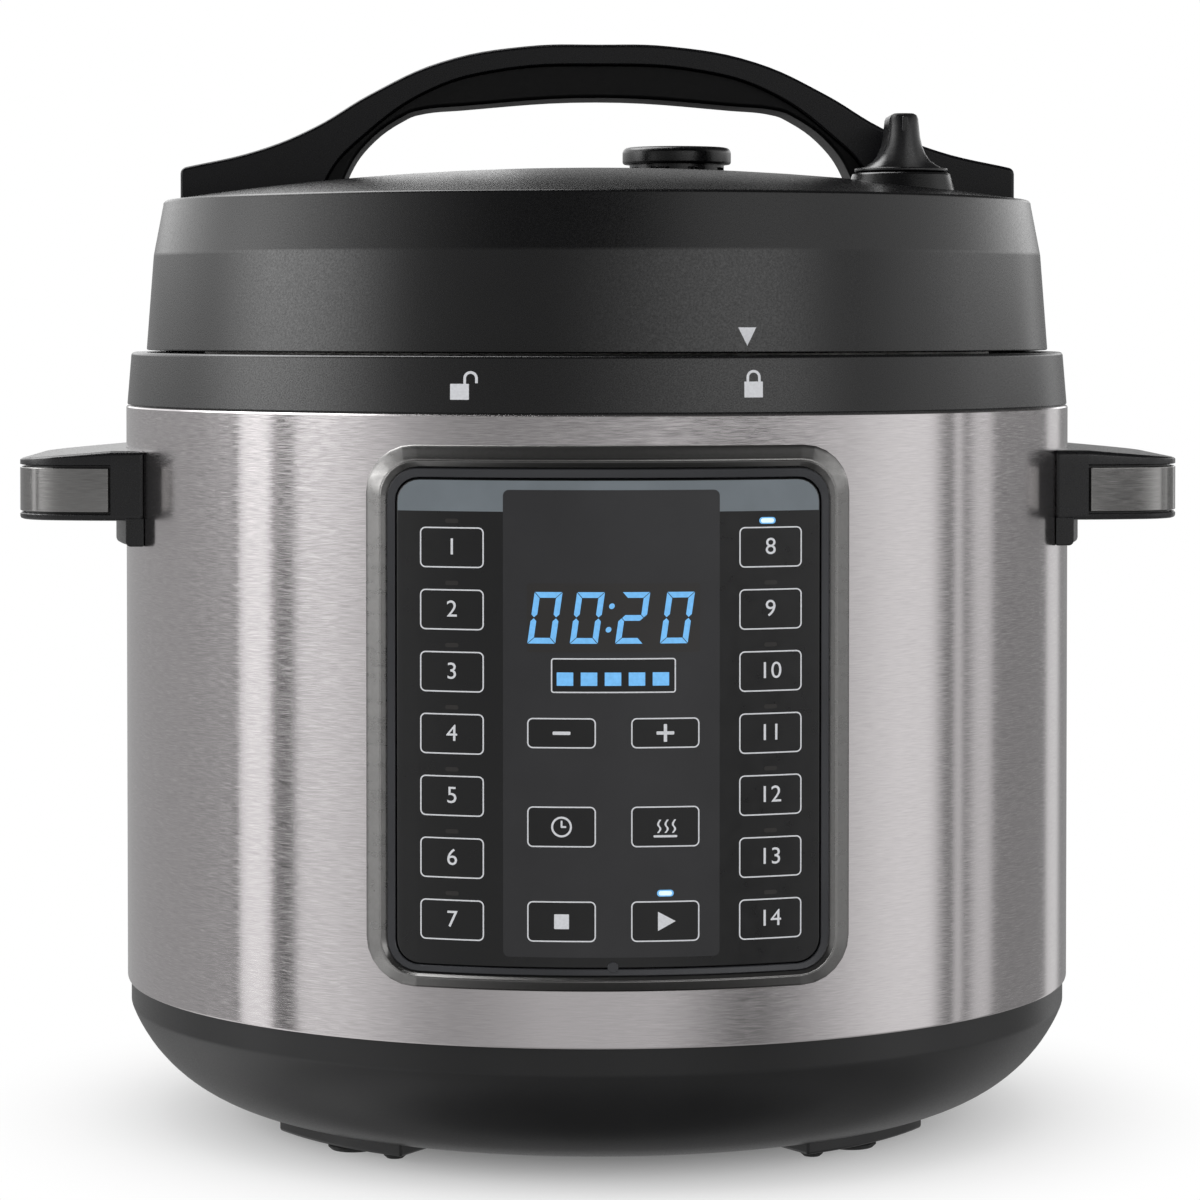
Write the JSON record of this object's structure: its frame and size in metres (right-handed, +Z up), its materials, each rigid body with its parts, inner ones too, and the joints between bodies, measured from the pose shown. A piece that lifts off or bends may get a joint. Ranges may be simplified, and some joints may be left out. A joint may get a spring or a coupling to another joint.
{
  "type": "electric multi-cooker",
  "caption": "Electric multi-cooker with a brushed-steel body, twist-lock lid with arched handle, steam valve, release dial, lift-out pot and curved control panel.",
  "frame": {"origin": "on the worktop under the body's axis", "axes": "+Z up, the control panel faces -Y, the side handles lie along X"},
  "size_m": [0.342, 0.312, 0.321],
  "materials": {
    "base_plastic": "fine satin texture",
    "collar_plastic": "fine satin texture",
    "lid_plastic": "fine satin texture",
    "handle_plastic": "satin",
    "grip_plastic": "soft satin",
    "body_steel": "brushed round the body",
    "trim_steel": "brushed",
    "vessel_steel": "satin",
    "screw_steel": "plated",
    "plate_aluminium": "cast and turned",
    "pad_rubber": "matt",
    "silicone": "translucent matt",
    "bezel_plastic": "semi-gloss",
    "overlay_film": "satin film",
    "board_green": "solder mask",
    "display_black": "gloss",
    "pin_brass": "nickel plated",
    "cup_plastic": "smoked"
  },
  "bodies": {
    "base": {"base_shell": "base_plastic", "foot_pads": "pad_rubber", "bottom_cover": "base_plastic", "cover_screws": "screw_steel", "steel_wrap": "body_steel", "upper_collar": "collar_plastic", "locking_ring": "vessel_steel", "liner": "plate_aluminium", "heat_plate": "plate_aluminium", "heating_element": "vessel_steel", "plate_brackets": "vessel_steel", "pressure_switch": "vessel_steel", "thermal_fuse": "silicone", "panel_bezel": "bezel_plastic", "panel_overlay": "overlay_film", "control_board": "board_green", "display_module": "display_black", "power_board": "board_green", "board_pillars": "base_plastic", "right_handle": "handle_plastic", "left_handle": "handle_plastic", "right_handle_trim": "trim_steel", "left_handle_trim": "trim_steel", "handle_screws": "screw_steel", "power_inlet": "base_plastic", "inlet_pins": "pin_brass", "collector_bracket": "base_plastic"},
    "collector": {"condensation_collector": "cup_plastic"},
    "sensor": {"temp_sensor": "plate_aluminium"},
    "pot": {"inner_pot": "vessel_steel"},
    "seal": {"sealing_ring": "silicone"},
    "lid": {"inner_lid": "vessel_steel", "lid_bolts": "screw_steel", "lid_shell": "lid_plastic", "lid_handle_screws": "screw_steel", "lid_closing_ring": "lid_plastic", "seal_rack": "vessel_steel", "vent_pipe": "vessel_steel", "block_shield": "vessel_steel", "handle_arch": "handle_plastic", "handle_grip": "grip_plastic", "dial_base": "lid_plastic", "lever_pin": "vessel_steel"},
    "dial": {"release_dial": "handle_plastic"},
    "valve": {"steam_valve_cap": "handle_plastic"},
    "lever": {"release_lever": "base_plastic"},
    "float": {"float_pin": "vessel_steel", "float_seal": "silicone"}
  },
  "joints": [
    {"name": "pot_lift", "type": "slide", "parent": "base", "child": "pot", "axis": [0, 0, 1], "range_m": [0, 0.2]},
    {"name": "lid_lift", "type": "slide", "parent": "pot", "child": "seal", "axis": [0, 0, 1], "range_m": [0, 0.25]},
    {"name": "lid_turn", "type": "hinge", "parent": "seal", "child": "lid", "pos_m": [0, 0, 0.23], "axis": [0, 0, 1], "range_deg": [-32, 0]},
    {"name": "dial_turn", "type": "hinge", "parent": "lid", "child": "dial", "pos_m": [0.088, -0.045, 0.282], "axis": [0, 0, 1], "range_deg": [0, 60]},
    {"name": "valve_lift", "type": "slide", "parent": "lid", "child": "valve", "axis": [0, 0, 1], "range_m": [0, 0.003]},
    {"name": "lever_tilt", "type": "hinge", "parent": "lid", "child": "lever", "pos_m": [0.057, -0.0015, 0.2635], "axis": [0.8144, 0.5803, 0], "range_deg": [0, 3]},
    {"name": "float_rise", "type": "slide", "parent": "lid", "child": "float", "axis": [0, 0, 1], "range_m": [0, 0.005]},
    {"name": "sensor_rise", "type": "slide", "parent": "base", "child": "sensor", "axis": [0, 0, 1], "range_m": [0, 0.0025]},
    {"name": "collector_pull", "type": "slide", "parent": "base", "child": "collector", "axis": [0, 1, 0], "range_m": [0, 0.05]}
  ],
  "couplings": [
    {"joint": "valve_lift", "follows": "dial_turn", "m_per_rad": 0.0023873},
    {"joint": "lever_tilt", "follows": "dial_turn", "ratio": 0.045},
    {"joint": "sensor_rise", "follows": "pot_lift", "ratio": 0.01}
  ]
}
